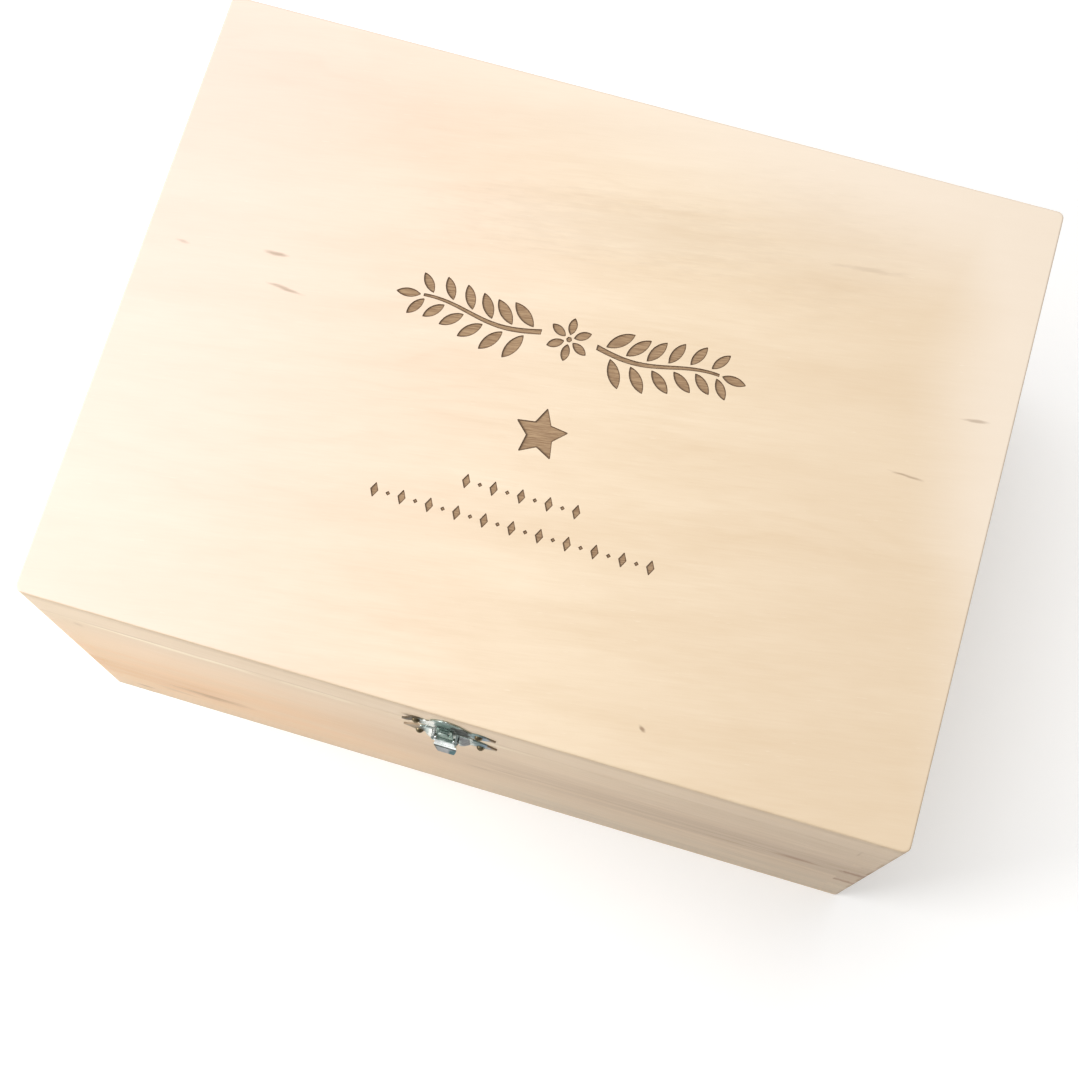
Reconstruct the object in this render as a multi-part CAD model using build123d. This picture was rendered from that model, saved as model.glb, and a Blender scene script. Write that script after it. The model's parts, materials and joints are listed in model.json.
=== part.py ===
from build123d import *
import math
import os

# ---------------------------------------------------------------------------
# Keepsake box with a hinged lid: finger-jointed softwood walls, plywood top
# and bottom, two nailed butt hinges at the back, and a nailed toggle latch
# (duckbill lever, flat link, hook) on the front. A star, a leafy band and two
# rows of lozenges are burnt into the lid.
#
# Frame: origin at the centre of the underside, +X to the right, +Y to the
# back, +Z up. All sizes in millimetres. Rest position: lid shut, latch shut.
# ---------------------------------------------------------------------------

# --- box -------------------------------------------------------------------
WIDTH = 400.0            # outer size along X
DEPTH = 300.0            # outer size along Y
HEIGHT = 225.0           # outer size along Z, lid shut
PLY = 4.0                # plywood top and bottom
WALL = 12.0              # softwood wall boards
SEAM_Z = 187.0           # height of the saw cut between base and lid
SEAM_GAP = 0.3           # gap left in the closed seam
CORNER_R = 3.0           # rounding of the four upright corners
EDGE_R = 0.8             # sanded edge of the plywood panels
FINGER = 17.4            # height of one finger of the corner joints

# --- star burnt into the lid ------------------------------------------------
STAR_X, STAR_Y = 0.5, -17.7
STAR_R = 12.5            # circumscribed radius
STAR_RATIO = 0.50        # inner radius / outer radius
STAR_DEPTH = 0.4

# --- leafy band and lozenge rows burnt into the lid ---------------------------
BAND_Y = 28.5            # middle line of the band
BAND_REACH = 82.0        # half length of the band
STEM_START = 13.0        # where a stem begins, from the middle
STEM_WAVE = 2.6          # how far a stem waves up and down
ROW_PITCH = 12.6         # spacing of the large lozenges
ROWS = ((-47.5, 2), (-62.5, 5))      # height of a row, lozenges either side
ENGRAVE_DEPTH = 0.4

# --- hinges ----------------------------------------------------------------
HINGE_X = 120.0          # distance of each hinge from the middle
HINGE_W = 32.0           # length of a leaf along X
HINGE_LEAF = 13.5        # height of a leaf from the pin's axis
LEAF_T = 0.8             # sheet thickness
KNUCKLE_R = 2.15         # outer radius of the rolled knuckles
HINGE_PIN_R = 0.95
HINGE_BORE_R = 1.03
KNUCKLE_GAP = 0.25       # gap between neighbouring knuckles
HINGE_AXIS_Y = DEPTH / 2 + 2.25
HINGE_NAIL_U = 10.0      # nail position from the hinge's middle
HINGE_NAIL_V = 8.6       # nail position from the pin's axis

# --- latch (u from its own middle along X, p outwards from the front) ------
LATCH_X = -3.0
BLOCK_X = -4.2           # the lever block sits a little left of the plates
SHEET = 0.8
WING_U = 22.0            # half length of the plates, tip to tip
LATCH_NAIL_U = 14.4
CATCH_ZC = 199.0         # height of the lid plate's nails
LOWER_ZC = 170.0         # height of the base plate's nails
PIVOT_P, PIVOT_Z = 3.6, 182.0      # lever pivot
LINK_P, LINK_Z = 2.9, 178.0        # link pivot, carried by the lever
BAR_P, BAR_Z = 1.7, 196.8          # middle of the link's cross bar
LINK_T = 0.7
LINK_HALF_W = 3.7
CHEEK_IN, CHEEK_OUT = 3.9, 4.7
EAR_IN, EAR_OUT = 4.85, 5.85
SHOULDER_IN, SHOULDER_OUT = 6.3, 10.8

FRONT_Y = -DEPTH / 2
BACK_Y = DEPTH / 2
BASE_TOP = SEAM_Z - SEAM_GAP / 2
LID_BOTTOM = SEAM_Z + SEAM_GAP / 2
FRAME_TOP = HEIGHT - PLY

parts = {}


# ---------------------------------------------------------------------------
# helpers
# ---------------------------------------------------------------------------
def prism_xz(points, y0, y1):
    """Extrude an outline given as (x, z) points from y0 to y1."""
    face = make_face(Polyline(*[(x, 0, z) for x, z in points], close=True))
    solid = extrude(face, amount=(y1 - y0), dir=(0, 1, 0))
    return Pos(0, y0, 0) * solid


def prism_yz(points, x0, x1):
    """Extrude an outline given as (y, z) points from x0 to x1."""
    face = make_face(Polyline(*[(0, y, z) for y, z in points], close=True))
    solid = extrude(face, amount=(x1 - x0), dir=(1, 0, 0))
    return Pos(x0, 0, 0) * solid


def face_xz(*edges):
    """Face in the XZ plane from joined edges."""
    return make_face(Wire(list(edges)))


def cyl_x(r, x0, x1, y, z):
    """Cylinder along X."""
    return Pos((x0 + x1) / 2, y, z) * Rot(0, 90, 0) * Cylinder(r, x1 - x0)


def cyl_y(r, y0, y1, x, z):
    """Cylinder along Y."""
    return Pos(x, (y0 + y1) / 2, z) * Rot(90, 0, 0) * Cylinder(r, y1 - y0)


def one(shape):
    """The single solid of a shape."""
    solids = shape.solids()
    assert len(solids) == 1, len(solids)
    return solids[0]


# ---------------------------------------------------------------------------
# wooden boards
# ---------------------------------------------------------------------------
def finger_cuts():
    """Heights where the fingers of the corner joints change over, from the
    frame's top down; even intervals belong to the side boards."""
    cuts = []
    k = 0
    z = FRAME_TOP
    while z > PLY + 0.01:
        low = max(FRAME_TOP - (k + 1) * FINGER, PLY)
        cuts.append((low, z, k % 2 == 0))
        z = low
        k += 1
    return cuts


def comb_outline(half, z0, z1, side_board):
    """Outline of a board whose two ends carry the fingers."""
    rows = []
    for low, high, side in finger_cuts():
        a, b = max(low, z0), min(high, z1)
        if b - a < 0.01:
            continue
        full = side if side_board else not side
        rows.append((a, b, half if full else half - WALL))
    rows.sort()
    right = []
    for a, b, h in rows:
        right.append((h, a))
        right.append((h, b))
    clean = [right[0]]
    for pt in right[1:]:
        if pt != clean[-1]:
            clean.append(pt)
    left = [(-h, z) for h, z in reversed(clean)]
    return clean + left


rounded = extrude(RectangleRounded(WIDTH, DEPTH, CORNER_R), amount=HEIGHT)


def front_or_back(z0, z1, back):
    pts = comb_outline(WIDTH / 2, z0, z1, False)
    y0 = BACK_Y - WALL if back else FRONT_Y
    return prism_xz(pts, y0, y0 + WALL) & rounded


def left_or_right(z0, z1, right):
    pts = comb_outline(DEPTH / 2, z0, z1, True)
    x0 = WIDTH / 2 - WALL if right else -WIDTH / 2
    return prism_yz(pts, x0, x0 + WALL) & rounded


base_front = front_or_back(PLY, BASE_TOP, False)
base_back = front_or_back(PLY, BASE_TOP, True)
base_left = left_or_right(PLY, BASE_TOP, False)
base_right = left_or_right(PLY, BASE_TOP, True)
lid_front = front_or_back(LID_BOTTOM, FRAME_TOP, False)
lid_back = front_or_back(LID_BOTTOM, FRAME_TOP, True)
lid_left = left_or_right(LID_BOTTOM, FRAME_TOP, False)
lid_right = left_or_right(LID_BOTTOM, FRAME_TOP, True)

# plywood panels
panel = extrude(RectangleRounded(WIDTH, DEPTH, CORNER_R), amount=PLY)
bottom_panel = fillet(panel.faces().sort_by(Axis.Z)[0].edges(), EDGE_R * 0.6)
lid_panel = fillet(panel.faces().sort_by(Axis.Z)[-1].edges(), EDGE_R)
lid_panel = Pos(0, 0, FRAME_TOP) * lid_panel
star_pts = []
for i in range(10):
    a = math.radians(90 + 36 * i)
    q = STAR_R if i % 2 == 0 else STAR_R * STAR_RATIO
    star_pts.append((STAR_X + q * math.cos(a), STAR_Y + q * math.sin(a)))
star = extrude(make_face(Polyline(*star_pts, close=True)), amount=2.0)
lid_panel = lid_panel - Pos(0, 0, HEIGHT - STAR_DEPTH) * star


def leaf_shape(x, y, angle, length, width):
    """Pointed leaf that starts at (x, y) and grows towards angle, degrees."""
    c, s = math.cos(math.radians(angle)), math.sin(math.radians(angle))

    def at(along, across):
        return (x + along * c - across * s, y + along * s + across * c)
    return make_face(Wire([
        ThreePointArc(at(0, 0), at(length * 0.5, width / 2), at(length, 0)),
        ThreePointArc(at(length, 0), at(length * 0.5, -width / 2), at(0, 0)),
    ]))


def lozenge(x, y, w, h):
    return make_face(Polyline((x - w / 2, y), (x, y - h / 2),
                              (x + w / 2, y), (x, y + h / 2), close=True))


def stem_y(u):
    """Height of a stem's middle line at the distance u from the middle."""
    t = (u - STEM_START) / (BAND_REACH - STEM_START)
    return BAND_Y - STEM_WAVE * math.sin(2 * math.pi * t)


def stem_slope(u):
    return math.degrees(math.atan2(stem_y(u + 0.1) - stem_y(u - 0.1), 0.2))


marks = []
for i in range(6):                                   # rosette in the middle
    a = 30 + 60 * i
    marks.append(leaf_shape(STAR_X + 2.3 * math.cos(math.radians(a)),
                            BAND_Y + 2.3 * math.sin(math.radians(a)),
                            a, 8.2, 3.9))
marks.append(make_face(Polyline(*[
    (STAR_X + 1.3 * math.cos(math.radians(60 * i)),
     BAND_Y + 1.3 * math.sin(math.radians(60 * i))) for i in range(6)],
    close=True)))
stem_u = [STEM_START + (69.0 - STEM_START) * i / 10 for i in range(11)]
for m in (-1, 1):
    upper = [(STAR_X + m * u, stem_y(u) + 1.25 - 0.6 * i / 10)
             for i, u in enumerate(stem_u)]
    lower = [(STAR_X + m * u, stem_y(u) - 1.25 + 0.6 * i / 10)
             for i, u in enumerate(stem_u)]
    marks.append(make_face(Wire([
        Spline(*upper), Line(upper[-1], lower[-1]),
        Spline(*reversed(lower)), Line(lower[0], upper[0])])))
    for i in range(6):                               # pairs of leaves
        u = 17.0 + 9.6 * i
        for side in (1, -1):
            ul = u + (0 if side > 0 else 3.2)
            turn = stem_slope(ul) + side * 52
            x0, y0 = ul, stem_y(ul) + side * (2.15 - 0.06 * i)
            angle = turn if m > 0 else 180 - turn
            marks.append(leaf_shape(STAR_X + m * x0, y0, angle,
                                    14.4 - 0.75 * i, 5.4 - 0.25 * i))
    tip = stem_slope(70.5)                           # leaf at the stem's end
    marks.append(leaf_shape(STAR_X + m * 70.4, stem_y(70.4),
                            tip if m > 0 else 180 - tip,
                            (BAND_REACH - 70.4) * 0.97, 4.2))
for row_y, n in ROWS:
    for i in range(-n, n + 1):
        marks.append(lozenge(STAR_X + i * ROW_PITCH, row_y, 3.6, 7.0))
    for i in range(-n, n):
        marks.append(lozenge(STAR_X + (i + 0.5) * ROW_PITCH, row_y, 2.0, 2.0))
ornament = [extrude(f, amount=2.0, dir=(0, 0, 1)) for f in marks]
lid_panel = lid_panel - Pos(0, 0, HEIGHT - ENGRAVE_DEPTH) * Compound(
    children=[one(o) for o in ornament])


# ---------------------------------------------------------------------------
# nails: domed head, round shank, short point
# ---------------------------------------------------------------------------
def nail(shank_r, length, head_r, head_h):
    """Nail along Z: underside of the head at z = 0, point down."""
    tip = shank_r * 2.0
    # spherical cap of height head_h over radius head_r
    sphere_r = (head_r ** 2 + head_h ** 2) / (2 * head_h)
    a = math.asin(head_r / sphere_r) / 2
    mid = (sphere_r * math.sin(a), head_h - sphere_r + sphere_r * math.cos(a))
    outline = Wire([
        Line((0, 0, -length), (shank_r, 0, -length + tip)),
        Line((shank_r, 0, -length + tip), (shank_r, 0, 0)),
        Line((shank_r, 0, 0), (head_r, 0, 0)),
        ThreePointArc((head_r, 0, 0), (mid[0], 0, mid[1]), (0, 0, head_h)),
        Line((0, 0, head_h), (0, 0, -length)),
    ])
    return revolve(make_face(outline), axis=Axis.Z)


def nail_front(x, z, y_under, **k):
    """Nail driven from the front (point towards +Y)."""
    return Pos(x, y_under, z) * Rot(90, 0, 0) * nail(**k)


def nail_back(x, z, y_under, **k):
    """Nail driven from the back (point towards -Y)."""
    return Pos(x, y_under, z) * Rot(-90, 0, 0) * nail(**k)


HINGE_NAIL = dict(shank_r=0.7, length=9.4, head_r=1.6, head_h=0.65)
LATCH_NAIL = dict(shank_r=0.65, length=9.0, head_r=1.9, head_h=1.75)


# ---------------------------------------------------------------------------
# butt hinges on the back
# ---------------------------------------------------------------------------
def leaf(xc, up):
    """One leaf. up = True: lid leaf with two knuckles; else base leaf with
    the three others."""
    seg = HINGE_W / 5
    own = (1, 3) if up else (0, 2, 4)
    s = 1 if up else -1
    x0, x1 = xc - HINGE_W / 2, xc + HINGE_W / 2
    reach = SEAM_Z + s * HINGE_LEAF
    clear = SEAM_Z + s * 2.7
    plate = Pos(xc, BACK_Y + LEAF_T / 2, (clear + reach) / 2) * \
        Box(HINGE_W, LEAF_T, abs(reach - clear))
    corner = [e for e in plate.edges().filter_by(Axis.Y)
              if abs(e.center().Z - reach) < 0.1]
    plate = fillet(corner, 2.4)
    body = plate
    for i in own:
        a = x0 + i * seg + (KNUCKLE_GAP / 2 if i > 0 else 0)
        b = x0 + (i + 1) * seg - (KNUCKLE_GAP / 2 if i < 4 else 0)
        body = body + cyl_x(KNUCKLE_R, a, b, HINGE_AXIS_Y, SEAM_Z)
        web = Pos((a + b) / 2, BACK_Y + LEAF_T / 2 + 0.1,
                  SEAM_Z + s * 1.45) * Box(b - a, LEAF_T + 0.2, 2.9)
        # the web stays outside the box: trimmed at the back face
        body = body + web
    body = body - cyl_x(HINGE_BORE_R, x0 - 1, x1 + 1, HINGE_AXIS_Y, SEAM_Z)
    for u in (-HINGE_NAIL_U, HINGE_NAIL_U):
        body = body - cyl_y(HINGE_NAIL["shank_r"], BACK_Y - 1, BACK_Y + 3,
                            xc + u, SEAM_Z + s * HINGE_NAIL_V)
    return one(body)


def hinge_pin(xc):
    """Pin with a peened head at each end."""
    x0, x1 = xc - HINGE_W / 2, xc + HINGE_W / 2
    p = cyl_x(HINGE_PIN_R, x0 - 0.5, x1 + 0.5, HINGE_AXIS_Y, SEAM_Z)
    for a, b in ((x0 - 0.6, x0 - 0.05), (x1 + 0.05, x1 + 0.6)):
        head = cyl_x(1.5, a, b, HINGE_AXIS_Y, SEAM_Z)
        outer = a if a < xc - HINGE_W / 2 - 0.3 else b
        rim = [e for e in head.edges() if abs(e.center().X - outer) < 0.01]
        head = fillet(rim, 0.3)
        p = p + head
    return one(p)


hinge_lid_nails, hinge_base_nails = [], []
for name, xc in (("left", -HINGE_X), ("right", HINGE_X)):
    parts["hinge_%s_lid_leaf" % name] = leaf(xc, True)
    parts["hinge_%s_base_leaf" % name] = leaf(xc, False)
    parts["hinge_%s_pin" % name] = hinge_pin(xc)
    for u in (-HINGE_NAIL_U, HINGE_NAIL_U):
        x = xc + u
        hinge_lid_nails.append(nail_back(x, SEAM_Z + HINGE_NAIL_V,
                                         BACK_Y + LEAF_T, **HINGE_NAIL))
        hinge_base_nails.append(nail_back(x, SEAM_Z - HINGE_NAIL_V,
                                          BACK_Y + LEAF_T, **HINGE_NAIL))
for n in hinge_lid_nails:
    lid_back = lid_back - n
for n in hinge_base_nails:
    base_back = base_back - n


# ---------------------------------------------------------------------------
# latch plates: a centre lobe and two pointed wings
# ---------------------------------------------------------------------------
def latch_outline(zc, s, seam_v, near, half_w, lifted=False):
    """Outline of a latch plate. s = +1 for the lid plate, -1 for the base
    plate; v counts away from the seam, from the nails' centre line. A centre
    lobe, a neck, a rounded lobe for the nail and a point swept to the seam.
    lifted: the left point is bent up off the wood beyond its nail."""
    def P(u, v):
        return (LATCH_X + u, 0, zc + s * v)

    def side(m):
        return [
            Spline(P(0, 14.2), P(m * 3.5, 12.6), P(m * 6.8, 8.6),
                   P(m * 9.0, 3.8), P(m * 11.0, 2.0)),
            Spline(P(m * 11.0, 2.0), P(m * 13.0, 2.7), P(m * 15.0, 2.9),
                   P(m * 17.2, 1.7), P(m * 19.4, -0.2), P(m * WING_U, -2.3)),
            Spline(P(m * WING_U, -2.5), P(m * 19.3, -0.45 * near),
                   P(m * 16.8, -0.72 * near), P(m * 14.0, -0.93 * near),
                   P(m * half_w, -near)),
            Line(P(m * WING_U, -2.3), P(m * WING_U, -2.5)),
            Line(P(m * half_w, -near), P(m * half_w, seam_v + 0.8)),
            Line(P(m * half_w, seam_v + 0.8), P(m * (half_w - 0.8), seam_v)),
        ]
    right, left = side(1), side(-1)
    close = Line(P(half_w - 0.8, seam_v), P(-half_w + 0.8, seam_v))
    face = make_face(Wire(right + [close] + left))
    if not lifted:
        return Pos(0, FRONT_Y, 0) * extrude(face, amount=SHEET, dir=(0, -1, 0))
    plate = Pos(0, FRONT_Y, 0) * extrude(face, amount=4, dir=(0, -1, 0))
    back = [(24, 0), (-15.9, 0), (-16.6, 0.12), (-17.4, 0.42), (-18.2, 0.72),
            (-19.2, 0.95), (-20.8, 1.05)]
    slab = [(LATCH_X + u, FRONT_Y - p, zc - 25) for u, p in back]
    slab += [(LATCH_X + u, FRONT_Y - p - SHEET, zc - 25)
             for u, p in reversed(back)]
    slab = extrude(make_face(Polyline(*slab, close=True)), amount=50,
                   dir=(0, 0, 1))
    return plate & slab


def prism_pz(points, u0, u1):
    """Extrude a (p, z) profile across the latch from u0 to u1."""
    return prism_yz([(FRONT_Y - p, z) for p, z in points],
                    BLOCK_X + u0, BLOCK_X + u1)


def both(fn):
    return fn(1) + fn(-1)


def disc(r, p, z, u0, u1):
    return cyl_x(r, BLOCK_X + min(u0, u1), BLOCK_X + max(u0, u1),
                 FRONT_Y - p, z)


# --- lid plate with its hook ---
catch = latch_outline(CATCH_ZC, 1, -10.6, 8.8, 10.6, lifted=True)
hook = prism_pz([(0.4, 194.0), (2.7, 194.05), (3.6, 194.5), (4.1, 195.5),
                 (4.25, 197.1), (4.25, 198.5), (3.5, 198.5), (3.45, 197.2),
                 (3.2, 196.2), (2.8, 195.75), (0.4, 195.75)], -2.15, 2.15)
catch = catch + hook
catch_nails = [nail_front(LATCH_X + m * LATCH_NAIL_U, CATCH_ZC,
                          FRONT_Y - SHEET, **LATCH_NAIL) for m in (-1, 1)]
for n in catch_nails:
    catch = catch - n
    lid_front = lid_front - n

# --- base plate with shoulders and ears ---
lower = latch_outline(LOWER_ZC, -1, -15.8, 12.2, 11.2)
for m in (-1, 1):
    a, b = sorted((m * SHOULDER_IN, m * SHOULDER_OUT))
    shoulder = prism_pz([(0.4, 185.4), (1.2, 185.2), (2.7, 180.0),
                         (3.2, 174.5), (3.1, 171.6), (1.4, 169.4),
                         (0.4, 169.2)], a, b)
    # pressed sheet: it falls away towards the wing
    fall = make_face(Polyline(*[
        (BLOCK_X + m * u, FRONT_Y - q, 165) for u, q in (
            (6.0, 0.3), (6.0, 3.5), (7.2, 3.2), (8.8, 2.5), (10.1, 1.6),
            (10.8, 0.9), (10.8, 0.3))], close=True))
    lower = lower + (shoulder & extrude(fall, amount=25, dir=(0, 0, 1)))
    a, b = sorted((m * EAR_IN, m * EAR_OUT))
    ear = prism_pz([(0.4, 185.2), (1.3, 185.0), (4.2, 183.35),
                    (5.0, 182.6), (5.1, 181.4), (4.6, 179.0),
                    (3.4, 175.0), (2.2, 171.6), (0.4, 171.0)], a, b)
    lower = lower + ear
    lower = lower - disc(0.75, PIVOT_P, PIVOT_Z, a - 0.1, b + 0.1)
latch_nails = [nail_front(LATCH_X + m * LATCH_NAIL_U, LOWER_ZC,
                          FRONT_Y - SHEET, **LATCH_NAIL) for m in (-1, 1)]
for n in latch_nails:
    lower = lower - n
    base_front = base_front - n

# --- rivets in the ears ---
lever_pins = []
for m in (-1, 1):
    r = disc(0.75, PIVOT_P, PIVOT_Z, m * (CHEEK_IN + 0.05), m * 6.0)
    r = r + disc(1.15, PIVOT_P, PIVOT_Z, m * EAR_OUT, m * 6.2)
    lever_pins.append(one(r))

# --- lever: two cheeks and a waved thumb plate ---
thumb = prism_pz([(3.95, 177.1), (4.4, 176.6), (4.9, 175.8), (5.2, 174.8),
                  (5.15, 173.8), (4.7, 172.8), (4.5, 171.8), (4.7, 170.8),
                  (5.4, 169.5), (6.4, 168.3), (7.5, 167.4),
                  (7.15, 166.7), (5.9, 167.6), (4.7, 169.0), (3.9, 170.6),
                  (3.7, 171.8), (3.9, 172.9), (4.3, 173.7), (4.4, 174.3),
                  (4.25, 174.9), (3.85, 175.8), (3.45, 176.5)],
                 -6.0, 6.0)
bill = [(-4.7, 178.5), (4.7, 178.5), (4.7, 172.4), (5.4, 169.9), (5.45, 168.8),
        (5.2, 167.9), (4.5, 167.1), (3.2, 166.65), (1.0, 166.5), (-1.0, 166.8),
        (-2.6, 167.3), (-4.0, 168.1), (-5.0, 169.1), (-5.4, 170.1),
        (-4.7, 172.4)]
bill = make_face(Polyline(*[(BLOCK_X + u, 0, z) for u, z in bill], close=True))
bill = Pos(0, FRONT_Y, 0) * extrude(bill, amount=12, dir=(0, -1, 0))
lever = thumb & bill
for m in (-1, 1):
    a, b = sorted((m * CHEEK_IN, m * CHEEK_OUT))
    cheek = prism_pz([(2.12, 182.4), (1.62, 179.0), (1.7, 176.5),
                      (2.2, 173.4), (3.2, 170.9), (4.0, 171.0),
                      (4.1, 172.6), (4.5, 174.0), (4.0, 176.4),
                      (4.1, 178.4), (5.08, 181.6)], a, b)
    cheek = cheek + disc(1.55, PIVOT_P, PIVOT_Z, a, b)
    lever = lever + cheek
    lever = lever - disc(0.84, PIVOT_P, PIVOT_Z, a - 0.1, b + 0.1)
    lever = lever - disc(0.6, LINK_P, LINK_Z, a - 0.1, b + 0.1)
link_pin = disc(0.6, LINK_P, LINK_Z, -CHEEK_OUT, CHEEK_OUT)

# --- link: flat strip with a window, its foot rolled round the pin ---
dp, dz = BAR_P - LINK_P, BAR_Z - LINK_Z
ln = math.hypot(dp, dz)
tp, tz = dp / ln, dz / ln            # along the strip, upwards
np_, nz_ = tz, -tp                   # outward normal
h = LINK_T / 2
top = ln + 0.8
strip_pts = [(LINK_P + h * np_, LINK_Z + h * nz_),
             (LINK_P + top * tp + h * np_, LINK_Z + top * tz + h * nz_),
             (LINK_P + top * tp - h * np_, LINK_Z + top * tz - h * nz_),
             (LINK_P - h * np_, LINK_Z - h * nz_)]
link = prism_pz(strip_pts, -LINK_HALF_W, LINK_HALF_W)
tall = [e for e in link.edges().filter_by(
    lambda e: abs(e.length - LINK_T) < 0.01) if e.center().Z > BAR_Z - 1]
link = fillet(tall, 1.5)
window = Pos(BLOCK_X, FRONT_Y - 2, 191.75) * Box(5.0, 8.0, 8.5)
window = fillet(window.edges().filter_by(Axis.Y), 0.6)
link = link - window
link = link + disc(1.15, LINK_P, LINK_Z, -LINK_HALF_W, LINK_HALF_W)
link = link - disc(0.69, LINK_P, LINK_Z, -LINK_HALF_W - 1, LINK_HALF_W + 1)

# ---------------------------------------------------------------------------
parts["lid_panel"] = lid_panel
parts["lid_front_board"] = lid_front
parts["lid_back_board"] = lid_back
parts["lid_left_board"] = lid_left
parts["lid_right_board"] = lid_right
parts["base_front_board"] = base_front
parts["base_back_board"] = base_back
parts["base_left_board"] = base_left
parts["base_right_board"] = base_right
parts["bottom_panel"] = bottom_panel
parts["hinge_lid_nails"] = Compound(
    children=[one(n) for n in hinge_lid_nails])
parts["hinge_base_nails"] = Compound(
    children=[one(n) for n in hinge_base_nails])
parts["catch_plate"] = catch
parts["catch_nails"] = Compound(children=[one(n) for n in catch_nails])
parts["latch_plate"] = lower
parts["latch_nails"] = Compound(children=[one(n) for n in latch_nails])
parts["lever_pins"] = Compound(children=lever_pins)
parts["latch_lever"] = lever
parts["link_pin"] = link_pin
parts["latch_link"] = link

GROUPS = ("hinge_lid_nails", "hinge_base_nails", "catch_nails",
          "latch_nails", "lever_pins")

os.makedirs("parts", exist_ok=True)
for name, shape in parts.items():
    if name not in GROUPS:
        shape = one(shape)
    export_step(shape, "parts/%s.step" % name)
    print(name, len(shape.solids()), round(shape.volume, 2))
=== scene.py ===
import json
import math

import bmesh
import bpy
from mathutils import Matrix, Vector
from mathutils.geometry import delaunay_2d_cdt

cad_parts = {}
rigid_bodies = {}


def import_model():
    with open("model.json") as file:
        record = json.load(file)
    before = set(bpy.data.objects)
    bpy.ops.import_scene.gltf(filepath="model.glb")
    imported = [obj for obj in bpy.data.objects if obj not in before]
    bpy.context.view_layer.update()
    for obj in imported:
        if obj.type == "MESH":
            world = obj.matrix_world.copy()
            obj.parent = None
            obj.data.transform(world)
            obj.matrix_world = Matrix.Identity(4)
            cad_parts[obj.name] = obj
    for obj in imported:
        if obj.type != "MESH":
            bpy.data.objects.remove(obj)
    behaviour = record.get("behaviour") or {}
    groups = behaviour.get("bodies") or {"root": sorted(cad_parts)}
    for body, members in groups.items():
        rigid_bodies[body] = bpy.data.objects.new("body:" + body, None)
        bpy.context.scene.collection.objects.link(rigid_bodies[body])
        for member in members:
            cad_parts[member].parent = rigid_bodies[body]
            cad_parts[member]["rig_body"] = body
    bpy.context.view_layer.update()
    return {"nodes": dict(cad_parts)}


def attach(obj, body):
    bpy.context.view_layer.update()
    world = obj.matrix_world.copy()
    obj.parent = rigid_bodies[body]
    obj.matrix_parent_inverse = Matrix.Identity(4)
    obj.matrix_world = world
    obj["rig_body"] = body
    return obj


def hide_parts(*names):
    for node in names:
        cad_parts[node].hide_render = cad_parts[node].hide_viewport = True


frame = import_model()
NODES = frame["nodes"]
MM = 0.001

# ---------------------------------------------------------------------------
# dimensions shared with the CAD model, in millimetres
# ---------------------------------------------------------------------------
WIDTH, DEPTH, HEIGHT = 400.0, 300.0, 225.0
PLY = 4.0
FRAME_TOP = HEIGHT - PLY
CORNER_R = 3.0
EDGE_R = 0.8
STAR_X, STAR_Y, STAR_R, STAR_RATIO = 0.5, -17.7, 12.5, 0.50
BAND_Y, BAND_REACH, STEM_START, STEM_WAVE = 28.5, 82.0, 13.0, 2.6
ROW_PITCH = 12.6
ROWS = ((-47.5, 2), (-62.5, 5))
ENGRAVE = 0.4


def lin(r, g, b, k=1.0):
    """8-bit display colour to linear, times k, with alpha."""
    out = []
    for v in (r, g, b):
        v /= 255.0
        v = v / 12.92 if v <= 0.04045 else ((v + 0.055) / 1.055) ** 2.4
        out.append(min(1.0, v * k))
    return (*out, 1.0)


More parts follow.
